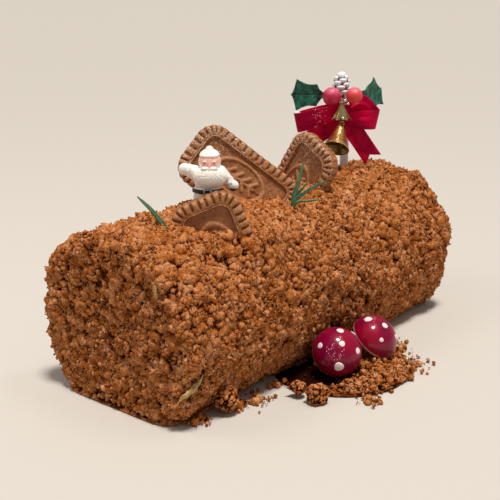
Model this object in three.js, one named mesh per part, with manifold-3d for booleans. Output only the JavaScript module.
// A crumb-coated yule log cake with its decorations: three biscuits, a white Father Christmas, rosemary,
// a festive pick with a bell and bow, two toadstools and the crumbs that fell at its foot.
// Millimetres. +X runs along the log away from its near end, -Y is the front side and +Z is up.
// The origin is the middle of the flat underside that the cake rests on.
import * as THREE from "three";
import { mergeVertices } from "three/addons/utils/BufferGeometryUtils.js";
import Module from "manifold-3d";

const wasm = await Module();
wasm.setup();

// ---- Driving dimensions ----------------------------------------------------------------------------

const GAP = 0.3; // clearance that touching pieces keep

// The log's section is a superellipse whose bottom is pressed flat by its own weight.
const LOG = {
  length: 220,
  halfWidth: 47.9,
  halfHeight: 47.5, // of the whole superellipse, the part below the table included
  centreHeight: 33.6,
  squareness: 2.1, // exponent: 2 is an ellipse
  edgeRadius: 7.5, // where the side turns into an end face
  waveHeight: 0.9, // slow unevenness of the crumb coat
  waveLength: 37,
  around: 34,
  alongSteps: 11,
};

// The crumbs heaped up against the foot of the front biscuit, and the thick rim of the near end.
const MOUNDS = [
  { top: [-49, -35, 69], height: 5.5, spread: 11 },
  { top: [-107, 37, 63], height: 4, spread: 8 },
];

const BISCUIT = {
  length: 59,
  width: 33,
  thickness: 7,
  cornerRadius: 8.5,
  crimps: 48,
  crimpDepth: 0.9,
  border: 5.9, // width of the crimped frame
  fieldDepth: 1.2, // how far the plain field lies below the frame
};

// Each biscuit is pushed corner-first into the cake. turn is the heading of its face from +X, lean how
// far the face looks up, and roll how far its long side is turned from level, all in degrees.
const BISCUIT_POSES = {
  biscuit_back: { centre: [-18.7, 3.9, 87.4], turn: -127.9, lean: 15.5, roll: -39.5 },
  biscuit_front: { centre: [-60.3, -23.3, 62.5], turn: -135, lean: 0, roll: 111.5 },
  biscuit_right: { centre: [28.9, 4.4, 75.1], turn: -187.7, lean: 9.3, roll: 61.5 },
};

// The small decorations all face the cake's near front corner: in their own frames +X is to the right
// of somebody standing there, +Y leads away and +Z is up.
const FACING = THREE.MathUtils.degToRad(-49.75);

const SANTA = {
  foot: [-55.7, -11.0, 79.4],
  sunk: 3.5, // how deep the feet stand in the crumbs
  height: 31.8,
  hipRadius: 6.9,
  depthShare: 0.8, // front to back against side to side
};

const LEAF = { width: 2.5, thickness: 1.1, sunk: 4 };
const LONE_LEAF_FOOT = [-84.2, -9.6, 80.4];
const SPRIG_FOOT = [-7.8, -21.3, 76.8];

const PICK = {
  foot: [76.5, 7.0, 80.8],
  sunk: 16,
  stemRadius: 2.4,
  stemTop: 33.7,
  stemBack: 3.2, // the stem stands this far behind the middle of the bow
  ribbonWidth: 10.4,
  ribbonThickness: 0.7,
  coneMiddle: [-2.4, 4.8],
  coneRadius: 5.6,
  coneHeight: 17.1,
  leafLength: 19,
  leafWidth: 18.6,
  leafThickness: 0.7,
  bellRadius: 7.3,
  bellHeight: 15.4,
  bellWall: 0.7,
};

// In the pick's own frame, like all of its pieces.
const BERRIES = {
  berry_left: { centre: [-8.4, -6.2, 38.6], radius: 5.3 },
  berry_right: { centre: [3.9, -6.0, 39.1], radius: 4.8 },
};

// Half of a holly leaf's outline from foot to tip, in shares of its length and of its width.
const HOLLY_SPINES = [[0, 0.08], [0.25, 0.33], [0.83, 0.47], [1, 0]];

// The ribbon's knot, its two tails (heading in degrees from +X) and its two loops. A loop reaches out to
// one side; its lift is the rise of its lower edge above the bottom at each x and y.
const KNOT = { radii: [3.2, 2.3, 4.6], centre: [-0.4, -2.1, 28] };
const TAILS = [
  { heading: -146, length: 23, start: [-1.5, -2.6, 26.5] },
  { heading: -55, length: 25.8, start: [1.0, -3.2, 24.2] },
];
const LOOPS = [
  { reach: -28.8, opening: 8, bottom: 18.5, lift: (x) => 0.26 * (x + 28.8) },
  {
    reach: 18.5,
    opening: 9,
    bottom: 20.6,
    lift: (x, y) => clamp((y + 1) / 3, 0, 1) * (2.8 * (1 - x / 18.5) + 6.2 * Math.sin((Math.PI * x) / 18.5)),
  },
];
const BOW_FRONT = 2.4; // the loops' middle lies this far in front of the frame's origin

const GILT_CAP = { foot: [-3.1, -8.7, 27.1], height: 8.7, topRadius: 0.9, flare: 4.0, scallops: 6 };

// The bell hangs askew: its mouth looks down, forwards and a little to the left.
const BELL_TOP = [-3.0, -8.7, 23.7];
const BELL_UP = [0.23, 0.62, 0.75];

// The bell's outside from crown to lip, in shares of its radius and of its height.
const BELL_OUTSIDE = [
  [0, 0], [0.16, -0.02], [0.3, -0.1], [0.43, -0.3], [0.58, -0.55], [0.77, -0.77], [0.95, -0.94], [1, -1],
];

const TOADSTOOL = {
  capRadius: 12,
  capHeight: 11,
  rimDrop: 0.9,
  stemRadius: 2.5,
  stemLength: 12.5,
};
const TOADSTOOL_POSES = {
  toadstool_left: { rim: [-17.6, -56.9, 12.5], axis: [-0.489, -0.659, 0.572] },
  toadstool_right: { rim: [7.3, -60.8, 13.0], axis: [0.141, -0.63, 0.763] },
};

// Outline of the fallen crumbs on the table, front side first, running under the log at its ends.
const BANK = {
  outline: [
    [-22, -34], [-30, -50], [-38, -60], [-38, -72], [-34, -82], [-23, -86],
    [-10, -88], [4, -85], [17, -75], [27, -64], [33, -50], [31, -32],
  ],
  height: 6,
  crest: [-2, -56],
  around: 30,
  rings: 4,
};

const CRUMB_LUMPS = {
  crumb_lump_near: { centre: [-81.5, -43.2, 6.6], radii: [7.2, 5.6, 6.2], turn: 20 },
  crumb_lump_middle: { centre: [-48.1, -56.1, 4.2], radii: [4.6, 4.2, 4.1], turn: 50 },
  crumb_lump_front: { centre: [-47.2, -67.4, 4.1], radii: [4.9, 4.4, 4.0], turn: -15 },
};

const COLOURS = {
  crumb: { color: 0xa5663a, roughness: 0.95 },
  biscuit: { color: 0x9a6240, roughness: 0.8 },
  plastic: { color: 0xf3ece0, roughness: 0.4 },
  rosemary: { color: 0x3f6b45, roughness: 0.6 },
  stem: { color: 0xf0efe9, roughness: 0.5 },
  frost: { color: 0xb9bec0, roughness: 0.5 },
  berry: { color: 0xc31f3d, roughness: 0.5 },
  holly: { color: 0x14503a, roughness: 0.5 },
  ribbon: { color: 0xb00a30, roughness: 0.6 },
  gold: { color: 0xc9a03c, roughness: 0.25, metalness: 1 },
  toadstool: { color: 0xa30f2c, roughness: 0.15 },
  toadstoolStem: { color: 0xb9aa90, roughness: 0.7 },
};

// ---- Helpers ---------------------------------------------------------------------------------------

const deg = THREE.MathUtils.degToRad;
const lerp = THREE.MathUtils.lerp;
const clamp = THREE.MathUtils.clamp;

/** The geometry with only positions, its vertices shared. */
function bare(geometry) {
  const g = geometry.clone();
  g.deleteAttribute("normal");
  g.deleteAttribute("uv");
  return mergeVertices(g, 1e-4);
}

/** A closed geometry as a manifold-3d solid, turned inside out when its faces point inwards. */
function solidOf(geometry) {
  const g = bare(geometry);
  const vertProperties = new Float32Array(g.attributes.position.array);
  const triVerts = new Uint32Array(g.index.array);
  const made = new wasm.Manifold(new wasm.Mesh({ numProp: 3, vertProperties, triVerts }));
  if (made.volume() > 0) return made;
  triVerts.reverse();
  return new wasm.Manifold(new wasm.Mesh({ numProp: 3, vertProperties, triVerts }));
}

/** A manifold-3d solid as a geometry. */
function geometryOf(solid) {
  const mesh = solid.getMesh();
  const g = new THREE.BufferGeometry();
  g.setAttribute("position", new THREE.BufferAttribute(new Float32Array(mesh.vertProperties), 3));
  g.setIndex(new THREE.BufferAttribute(new Uint32Array(mesh.triVerts), 1));
  g.computeVertexNormals();
  return g;
}

/** All the geometries joined into one body. */
function joined(geometries) {
  return geometries.map(solidOf).reduce((all, next) => all.add(next));
}

/** The solid with a list of cutter geometries taken away. */
function cut(solid, cutters) {
  return cutters.reduce((left, cutter) => left.subtract(solidOf(cutter)), solid);
}

/** A closed sphere-like skin of around x rows quads: place(u, row) gives each vertex, u from 0 to 1. */
function skin(around, rows, place) {
  const g = new THREE.SphereGeometry(1, around, rows);
  const position = g.attributes.position;
  for (let i = 0; i < position.count; i++) {
    const row = Math.floor(i / (around + 1));
    const column = row === 0 || row === rows ? 0 : i % (around + 1) % around;
    position.setXYZ(i, ...place(column / around, row));
  }
  return g;
}

/** An ellipsoid with its radii and its centre. */
function ball(radii, centre, around = 11, rows = 7) {
  return new THREE.SphereGeometry(1, around, rows).scale(...radii).translate(...centre);
}

/** A round-ended limb from one point to another. */
function limb(from, to, radius) {
  const a = new THREE.Vector3(...from);
  const b = new THREE.Vector3(...to);
  const up = new THREE.Vector3(0, 1, 0);
  const q = new THREE.Quaternion().setFromUnitVectors(up, b.clone().sub(a).normalize());
  const g = new THREE.CapsuleGeometry(radius, a.distanceTo(b), 2, 8);
  return g.applyQuaternion(q).translate(...a.add(b).multiplyScalar(0.5));
}

/** Slow waves between -1 and 1 that depend on two numbers, the same on every run. */
function waves(a, b) {
  const broad = 0.5 * Math.sin(3 * a + 1.3 + 2 * b);
  const middling = 0.3 * Math.sin(5 * a - 3.1 * b);
  return broad + middling + 0.2 * Math.sin(9 * a + 7 * b);
}

/** A frame at a place, turned to face the near front corner. */
function facingFrame(place) {
  return new THREE.Matrix4().makeRotationZ(FACING).setPosition(...place);
}

/** A frame whose +Z is the axis. */
function axisFrame(place, axis) {
  const z = new THREE.Vector3(0, 0, 1);
  const q = new THREE.Quaternion().setFromUnitVectors(z, new THREE.Vector3(...axis).normalize());
  return new THREE.Matrix4().makeRotationFromQuaternion(q).setPosition(...place);
}

const cake = new THREE.Group();

/** Adds a named mesh to the cake, placed by its frame. */
function addPiece(name, solid, look, frame = new THREE.Matrix4()) {
  const mesh = new THREE.Mesh(geometryOf(solid), new THREE.MeshStandardMaterial(COLOURS[look]));
  mesh.name = name;
  mesh.applyMatrix4(frame);
  cake.add(mesh);
  return mesh;
}

// ---- Log -------------------------------------------------------------------------------------------

/** Rows from the near end's middle to the far end's: x along the log and the share of the section. */
function logRows() {
  const { length, halfWidth, edgeRadius, alongSteps } = LOG;
  const rows = [[0, 0], [0, 0.45]];
  for (const t of [0, 30, 60, 90].map(deg)) {
    rows.push([edgeRadius * (1 - Math.cos(t)), 1 - (edgeRadius * (1 - Math.sin(t))) / halfWidth]);
  }
  const straight = length - 2 * edgeRadius;
  const near = rows.map(([x, share]) => [x - length / 2, share]);
  const far = near.map(([x, share]) => [-x, share]).reverse();
  const middle = [];
  for (let i = 1; i < alongSteps; i++) middle.push([(i / alongSteps - 0.5) * straight, 1]);
  return [...near, ...middle, ...far];
}

/** A point of the section at an angle, share of its full size, grown outwards by some millimetres. */
function sectionPoint(angle, share, grow) {
  const power = 2 / LOG.squareness;
  const c = Math.cos(angle);
  const s = Math.sin(angle);
  const y = Math.sign(c) * Math.abs(c) ** power * (LOG.halfWidth + grow) * share;
  const z = LOG.centreHeight + Math.sign(s) * Math.abs(s) ** power * (LOG.halfHeight + grow) * share;
  return [y, Math.max(z, 0)];
}

/** How high the mounds stand above a point of the plain log. */
function moundsAt(x, y, z) {
  const here = new THREE.Vector3(x, y, z);
  return MOUNDS.reduce((sum, { top, height, spread }) => {
    const distance = here.distanceTo(new THREE.Vector3(...top));
    return sum + height * Math.exp(-0.5 * (distance / spread) ** 2);
  }, 0);
}

/** The log's whole surface, grown outwards by some millimetres. */
function logSkin(grow) {
  const rows = logRows();
  return skin(LOG.around, rows.length - 1, (u, row) => {
    const angle = 2 * Math.PI * u;
    const [x, share] = rows[row];
    const mound = moundsAt(x, ...sectionPoint(angle, share, 0));
    const wave = LOG.waveHeight * waves(angle, x / LOG.waveLength);
    const [y, z] = sectionPoint(angle, share, grow + mound + wave);
    return [x + Math.sign(x) * grow, y, z];
  });
}

// ---- Biscuits --------------------------------------------------------------------------------------

/** Closed outline of a rounded rectangle, its corners as arcs. */
function roundedShape(length, width, radius) {
  const x = length / 2 - radius;
  const y = width / 2 - radius;
  const shape = new THREE.Shape();
  shape.absarc(x, y, radius, 0, Math.PI / 2);
  shape.absarc(-x, y, radius, Math.PI / 2, Math.PI);
  shape.absarc(-x, -y, radius, Math.PI, 1.5 * Math.PI);
  shape.absarc(x, -y, radius, 1.5 * Math.PI, 2 * Math.PI);
  return shape;
}

/** The biscuit's outline with a dent between each pair of crimps. */
function crimpedShape() {
  const points = roundedShape(BISCUIT.length, BISCUIT.width, BISCUIT.cornerRadius)
    .getSpacedPoints(2 * BISCUIT.crimps)
    .slice(0, -1);
  return new THREE.Shape(
    points.map((p, i) => {
      const dent = i % 2 ? BISCUIT.crimpDepth : 0;
      return p.clone().setLength(p.length() - dent);
    }),
  );
}

/** A flat plate of some thickness whose middle plane lies at a height. */
function plate(shape, thickness, middle, curveSegments = 5) {
  const g = new THREE.ExtrudeGeometry(shape, { depth: thickness, bevelEnabled: false, curveSegments });
  return g.translate(0, 0, middle - thickness / 2);
}

/** A biscuit with its plain sunk field. */
function biscuitSolid() {
  const { length, width, thickness, border, fieldDepth, cornerRadius } = BISCUIT;
  const field = roundedShape(length - 2 * border, width - 2 * border, cornerRadius - border + 1.5);
  const recess = plate(field, 2 * fieldDepth, thickness / 2);
  return cut(solidOf(plate(crimpedShape(), thickness, 0)), [recess]);
}

/** The hole that a biscuit has pushed for itself, a little larger all round. */
function biscuitPocket() {
  const { length, width, thickness, cornerRadius } = BISCUIT;
  const outline = roundedShape(length + 2 * GAP, width + 2 * GAP, cornerRadius + GAP);
  return plate(outline, thickness + 2 * GAP, 0);
}

/** A biscuit's frame: +X along its long side and +Z out of its face. */
function biscuitFrame({ centre, turn, lean, roll }) {
  const face = new THREE.Vector3().setFromSphericalCoords(1, deg(90 - lean), deg(turn + 90));
  const z = new THREE.Vector3(face.x, -face.z, face.y);
  const level = new THREE.Vector3(-Math.sin(deg(turn)), Math.cos(deg(turn)), 0);
  const frame = new THREE.Matrix4().makeBasis(level, z.clone().cross(level), z);
  return frame.multiply(new THREE.Matrix4().makeRotationZ(deg(roll))).setPosition(...centre);
}

// ---- Father Christmas ------------------------------------------------------------------------------

/** The figure of moulded plastic, standing on z = 0 and facing -Y. */
function santaSolid() {
  const { hipRadius, depthShare, sunk, height } = SANTA;
  const hips = new THREE.CylinderGeometry(hipRadius - 0.7, hipRadius, 12 + sunk, 16)
    .rotateX(Math.PI / 2)
    .scale(1, depthShare, 1)
    .translate(-1, 0, (12 - sunk) / 2);
  const belt = new THREE.CylinderGeometry(hipRadius, hipRadius, 1.9, 16)
    .rotateX(Math.PI / 2)
    .scale(1, depthShare, 1)
    .translate(-1, 0, 11.9);
  const buckle = new THREE.BoxGeometry(3.4, 1.2, 2.4).translate(-0.6, -hipRadius * depthShare, 11.9);
  return joined([
    hips,
    belt,
    buckle,
    ball([6.7, 5.2, 7.2], [-0.4, 0, 16.6]), // chest
    ball([8.0, 4.6, 5.6], [0.5, -3.0, 19.2]), // beard
    ball([2.4, 1.4, 0.9], [-1.6, -5.4, 24.0], 8, 5), // moustache, its two halves
    ball([2.4, 1.4, 0.9], [2.2, -5.4, 24.0], 8, 5),
    ball([5.3, 4.8, 4.7], [0.3, -0.4, 24.8]), // head
    ball([1.0, 1.0, 0.9], [0.3, -5.4, 25.3], 7, 5), // nose
    ball([4.8, 4.7, 1.0], [0.3, -0.3, 27.9]), // brim of the hat
    ball([4.4, 4.3, 3.4], [0.3, 0.1, 27.0]), // hat
    ball([1.9, 1.9, 1.5], [0.3, 0.2, height - 1.5], 9, 6), // bobble
    limb([-4.5, 0.4, 21.0], [-9.0, 0, 22.0], 2.9), // raised arm
    ball([2.6, 2.3, 2.5], [-11.1, -0.3, 22.3], 9, 6), // its mitten
    limb([4.8, 0.4, 20.0], [9.2, -0.3, 15.7], 2.5), // lowered arm
    ball([2.5, 2.2, 2.4], [11.2, -0.6, 14.2], 9, 6), // its mitten
  ]);
}

/** The hole in the crumbs that the figure's feet stand in. */
function santaPocket() {
  const { hipRadius, depthShare } = SANTA;
  return new THREE.CylinderGeometry(hipRadius + GAP, hipRadius + GAP, 20, 24)
    .rotateX(Math.PI / 2)
    .scale(1, depthShare + GAP / hipRadius, 1)
    .translate(-1, 0, 10 - SANTA.sunk - GAP);
}

// ---- Rosemary --------------------------------------------------------------------------------------

/** A needle leaf that follows a curve through its points, pointed at the tip and round at the foot. */
function needle(points, width) {
  const curve = new THREE.CatmullRomCurve3(points.map((p) => new THREE.Vector3(...p)));
  const rows = 7;
  return skin(6, rows, (u, row) => {
    const t = row / rows;
    const fullness = Math.sin(Math.PI * t) ** 0.35 * lerp(1, 0.7, t);
    const along = curve.getTangentAt(t);
    const side = new THREE.Vector3(along.z, 0, -along.x).normalize();
    const out = along.clone().cross(side);
    const across = (width / 2) * fullness;
    const through = (LEAF.thickness / 2) * fullness;
    const angle = 2 * Math.PI * u;
    return curve
      .getPointAt(t)
      .addScaledVector(side, row % rows ? across * Math.cos(angle) : 0)
      .addScaledVector(out, row % rows ? through * Math.sin(angle) : 0)
      .toArray();
  });
}

const LONE_LEAF_PATH = [[2.0, 0.5, -LEAF.sunk], [0, 0, 0], [-5.3, 0.3, 6.8], [-11.1, 1.5, 12.2]];
const SPRIG_BASE = [0, 0, -LEAF.sunk];
const SPRIG_PATHS = [
  { path: [SPRIG_BASE, [0.9, 0, 4], [3.2, 0.4, 12], [5.7, 1.5, 21]], width: LEAF.width },
  { path: [SPRIG_BASE, [1.8, -0.6, 2.6], [8.6, -1.2, 8.2], [16.5, -1.5, 12.4]], width: LEAF.width },
  { path: [SPRIG_BASE, [1.4, 0.6, 3], [4.4, 1.0, 7.4], [7.8, 1.6, 11.4]], width: 1.7 },
  { path: [SPRIG_BASE, [2.2, -1.4, 1.6], [7.6, -2.4, 2.6], [13.4, -3.2, 3.4]], width: 1.4 },
];

/** The hole that the foot of a leaf or a sprig has made in the crumbs. */
function leafPocket([x, y, z]) {
  return limb([x, y, z], [0, 0, 2], LEAF.width);
}

// ---- Pick ------------------------------------------------------------------------------------------

/** The stem stands upright behind the middle of the bow. */
function pickStem(grow = 0) {
  const { stemRadius, sunk, stemTop, stemBack } = PICK;
  return new THREE.CylinderGeometry(stemRadius + grow, stemRadius + grow, stemTop + sunk + 2 * grow, 20)
    .rotateX(Math.PI / 2)
    .translate(0, stemBack, (stemTop - sunk) / 2);
}

/** A small cone of overlapping scales, each a bump on two spirals. */
function pineCone() {
  const { coneRadius, coneHeight, stemTop } = PICK;
  const rows = 11;
  return skin(16, rows, (u, row) => {
    const t = row / rows;
    const body = Math.sin(Math.PI * Math.min(1, 0.06 + 0.94 * t)) ** 0.55 * lerp(0.8, 1, t);
    const scales = 0.84 + 0.16 * Math.abs(Math.cos(Math.PI * (4 * u + 3.5 * t)));
    const r = row % rows ? coneRadius * body * scales : 0;
    const angle = 2 * Math.PI * u;
    return [r * Math.cos(angle), r * Math.sin(angle), coneHeight * (1 - t)];
  }).translate(...PICK.coneMiddle, stemTop + GAP);
}

/** A round berry, grown by some millimetres. */
function berry({ centre, radius }, grow = 0) {
  return ball(Array(3).fill(radius + grow), centre, 14, 9);
}

/** A holly leaf from its foot at the origin to its tip at +X, with two spines down each side. */
function hollyLeaf() {
  const { leafLength: l, leafWidth: w, leafThickness } = PICK;
  const half = HOLLY_SPINES.map(([x, y]) => [x * l, y * w]);
  const side = (shape, points, sign) => {
    points.slice(1).forEach(([x, y], i) => {
      const [x0, y0] = points[i];
      shape.quadraticCurveTo((x + x0) / 2, sign * Math.min(y, y0) * 0.45, x, sign * y);
    });
  };
  const shape = new THREE.Shape();
  shape.moveTo(half[0][0], half[0][1]);
  side(shape, half, 1);
  side(shape, [...half].reverse(), -1);
  const g = plate(shape, leafThickness, 0, 4);
  const position = g.attributes.position;
  for (let i = 0; i < position.count; i++) {
    const fold = 0.12 * Math.abs(position.getY(i));
    position.setZ(i, position.getZ(i) + fold);
  }
  return g.rotateX(Math.PI / 2);
}

/** The two leaves spread left and right behind the berries. */
const HOLLY_FRAMES = {
  holly_leaf_left: new THREE.Matrix4()
    .makeRotationY(deg(-179.4))
    .setPosition(-11.6, 3.4, 38.3),
  holly_leaf_right: new THREE.Matrix4()
    .makeRotationZ(deg(32))
    .multiply(new THREE.Matrix4().makeRotationY(deg(-26)))
    .setPosition(6.8, 3.0, 32.9),
};

/** A ribbon loop, seen from above a teardrop from the knot out to one side. */
function ribbonLoop({ reach, opening, bottom, lift }) {
  const t = PICK.ribbonThickness;
  const teardrop = (inset, extra) => {
    const start = Math.sign(reach) * (3 * inset - 1);
    const end = reach - Math.sign(reach) * inset;
    const half = 1.3 * (opening / 2 - inset);
    const shape = new THREE.Shape();
    shape.moveTo(start, 0);
    shape.bezierCurveTo(0.4 * end, half, end, half, end, 0);
    shape.bezierCurveTo(end, -half, 0.4 * end, -half, start, 0);
    const g = plate(shape, PICK.ribbonWidth + extra, bottom + PICK.ribbonWidth / 2, 5);
    const position = g.attributes.position;
    for (let i = 0; i < position.count; i++) {
      const rise = lift(clamp(position.getX(i), Math.min(reach, 0), Math.max(reach, 0)), position.getY(i));
      position.setZ(i, position.getZ(i) + rise);
    }
    return solidOf(g);
  };
  return teardrop(0, 0).subtract(teardrop(t, 2));
}

/** A ribbon tail that widens from the knot and ends in a swallow tail. */
function ribbonTail({ heading, length, start }) {
  const w = PICK.ribbonWidth / 2;
  const shape = new THREE.Shape();
  shape.moveTo(0, -w * 0.55);
  shape.lineTo(6, -w);
  shape.lineTo(length, -w);
  shape.lineTo(length - 0.7 * w, 0);
  shape.lineTo(length, w);
  shape.lineTo(6, w);
  shape.lineTo(0, w * 0.55);
  return plate(shape, PICK.ribbonThickness, 0)
    .rotateZ(deg(heading))
    .rotateX(Math.PI / 2)
    .translate(...start);
}

/** The bow: knot, tails and loops in one, clear of the stem and of the berries. */
function bowSolid() {
  const knot = ball(KNOT.radii, KNOT.centre);
  const loops = LOOPS.map((loop) => ribbonLoop(loop).translate([0, -BOW_FRONT, 0]));
  const bow = loops.reduce((all, loop) => all.add(loop), joined([knot, ...TAILS.map(ribbonTail)]));
  const neighbours = Object.values(BERRIES).map((b) => berry(b, GAP));
  return cut(bow, [pickStem(GAP), ...neighbours]);
}

/** The gilt cap between the berries: a flattened cone whose hem has scallops. */
function giltCap() {
  const { foot, height, topRadius, flare, scallops } = GILT_CAP;
  const rows = 8;
  return skin(24, rows, (u, row) => {
    const t = Math.min(1, row / (rows - 1));
    const angle = 2 * Math.PI * u;
    const scallop = 1 + 0.16 * t * t * Math.cos(scallops * angle);
    const r = row === rows || row === 0 ? 0 : (topRadius + flare * t ** 1.3) * scallop;
    return [r * Math.cos(angle), 0.72 * r * Math.sin(angle), height * (1 - t)];
  }).translate(...foot);
}

/** The bell's wall is one closed profile, from the crown out to the lip and back inside. */
function bellSolid() {
  const { bellRadius: r, bellHeight: h, bellWall } = PICK;
  const outer = BELL_OUTSIDE.map(([x, y]) => new THREE.Vector2(x * r, y * h));
  const inner = outer
    .slice(1)
    .reverse()
    .map((p, i) => new THREE.Vector2(p.x - bellWall, i === 0 ? p.y : p.y - bellWall * 0.6));
  const crown = new THREE.Vector2(0, inner[inner.length - 1].y);
  const wall = new THREE.LatheGeometry([...outer, ...inner, crown], 18).rotateX(Math.PI / 2);
  const loop = new THREE.TorusGeometry(1.2, 0.4, 5, 10).rotateX(Math.PI / 2).translate(0, 0, 1.1);
  return joined([wall, loop]);
}

// ---- Toadstools ------------------------------------------------------------------------------------

/** A domed cap whose rim lies in the plane z = 0, with a shallow hollow under it. */
function capShape(grow = 0) {
  const { rimDrop } = TOADSTOOL;
  const capRadius = TOADSTOOL.capRadius + grow;
  const capHeight = TOADSTOOL.capHeight + grow;
  const dome = [];
  for (let i = 0; i <= 6; i++) {
    const t = (i / 6) * (Math.PI / 2);
    dome.push(new THREE.Vector2(capRadius * Math.sin(t), capHeight * Math.cos(t)));
  }
  const under = [
    new THREE.Vector2(capRadius - 0.6, -rimDrop - grow),
    new THREE.Vector2(capRadius * 0.6, 0.4 - grow),
    new THREE.Vector2(0, 0.4 - grow),
  ];
  return new THREE.LatheGeometry([...dome, ...under], 20).rotateX(Math.PI / 2);
}

/** A toadstool's stem, a little thicker at its foot. */
function toadstoolStem(grow = 0) {
  const { stemRadius, stemLength } = TOADSTOOL;
  const height = stemLength + grow;
  return new THREE.CylinderGeometry(stemRadius * 0.85 + grow, stemRadius + grow, height, 12)
    .rotateX(Math.PI / 2)
    .translate(0, 0, 0.1 - height / 2);
}

// ---- Fallen crumbs ---------------------------------------------------------------------------------

/** The bank of crumbs: its outline drawn in towards a crest, with lumps on it and a flat underside. */
function bankSkin() {
  const { outline, height, around, rings } = BANK;
  const loop = new THREE.CatmullRomCurve3(outline.map(([x, y]) => new THREE.Vector3(x, y, 0)), true);
  const crest = new THREE.Vector3(...BANK.crest, 0);
  const rows = rings + 2;
  return skin(around, rows, (u, row) => {
    const edge = loop.getPointAt(u);
    if (row >= rows - 1) return crest.clone().lerp(edge, row === rows ? 0 : 0.985).toArray();
    const share = row / rings;
    const p = crest.clone().lerp(edge, share);
    const lumps = 1 + 0.3 * waves(p.x / 7, p.y / 9);
    return [p.x, p.y, 0.4 + height * (1 - share ** 2.2) ** 0.8 * lumps];
  });
}

/** A loose lump of crumbs: an uneven ball cut flat where it would reach below the table. */
function lumpSkin({ centre, radii, turn }) {
  return skin(10, 7, (u, row) => {
    const theta = (Math.PI * row) / 7;
    const phi = 2 * Math.PI * u + deg(turn);
    const r = 1 + 0.09 * waves(2 * phi * (row % 7 ? 1 : 0), 2 * theta);
    const x = radii[0] * r * Math.sin(theta) * Math.cos(phi);
    const y = radii[1] * r * Math.sin(theta) * Math.sin(phi);
    return [centre[0] + x, centre[1] + y, Math.max(centre[2] + radii[2] * r * Math.cos(theta), 0)];
  });
}

// ---- Assembly --------------------------------------------------------------------------------------

const santaFrame = facingFrame(SANTA.foot);
const loneLeafFrame = facingFrame(LONE_LEAF_FOOT);
const sprigFrame = facingFrame(SPRIG_FOOT);
const pickFrame = facingFrame(PICK.foot);
const loneLeaf = [{ path: LONE_LEAF_PATH, width: LEAF.width }];

const log = cut(solidOf(logSkin(0)), [
  ...Object.values(BISCUIT_POSES).map((pose) => biscuitPocket().applyMatrix4(biscuitFrame(pose))),
  santaPocket().applyMatrix4(santaFrame),
  leafPocket(LONE_LEAF_PATH[0]).applyMatrix4(loneLeafFrame),
  leafPocket(SPRIG_PATHS[0].path[0]).applyMatrix4(sprigFrame),
  pickStem(GAP).applyMatrix4(pickFrame),
]);
addPiece("cake_log", log, "crumb");

const biscuit = biscuitSolid();
for (const [name, pose] of Object.entries(BISCUIT_POSES)) {
  addPiece(name, biscuit, "biscuit", biscuitFrame(pose));
}

addPiece("santa_figure", santaSolid(), "plastic", santaFrame);
addPiece("rosemary_leaf", joined(loneLeaf.map((l) => needle(l.path, l.width))), "rosemary", loneLeafFrame);
addPiece("rosemary_sprig", joined(SPRIG_PATHS.map((l) => needle(l.path, l.width))), "rosemary", sprigFrame);

addPiece("pick_stem", solidOf(pickStem()), "stem", pickFrame);
addPiece("pine_cone", solidOf(pineCone()), "frost", pickFrame);
for (const [name, size] of Object.entries(BERRIES)) addPiece(name, solidOf(berry(size)), "berry", pickFrame);
const berryRoom = Object.values(BERRIES).map((b) => berry(b, GAP));
for (const [name, frame] of Object.entries(HOLLY_FRAMES)) {
  const leaf = cut(solidOf(hollyLeaf().applyMatrix4(frame)), berryRoom);
  addPiece(name, leaf, "holly", pickFrame);
}
addPiece("ribbon_bow", bowSolid(), "ribbon", pickFrame);
addPiece("gilt_cap", solidOf(giltCap()), "gold", pickFrame);
addPiece("bell", bellSolid(), "gold", pickFrame.clone().multiply(axisFrame(BELL_TOP, BELL_UP)));

const toadstoolRoom = [];
for (const [name, { rim, axis }] of Object.entries(TOADSTOOL_POSES)) {
  const frame = axisFrame(rim, axis);
  addPiece(name + "_cap", solidOf(capShape()), "toadstool", frame);
  addPiece(name + "_stem", solidOf(toadstoolStem()), "toadstoolStem", frame);
  toadstoolRoom.push(capShape(GAP).applyMatrix4(frame), toadstoolStem(GAP).applyMatrix4(frame));
}

const logRoom = logSkin(2 * GAP);
for (const [name, lump] of Object.entries(CRUMB_LUMPS)) {
  addPiece(name, cut(solidOf(lumpSkin(lump)), [logRoom]), "crumb");
}
addPiece("crumb_bank", cut(solidOf(bankSkin()), [logRoom, ...toadstoolRoom]), "crumb");

export default cake;
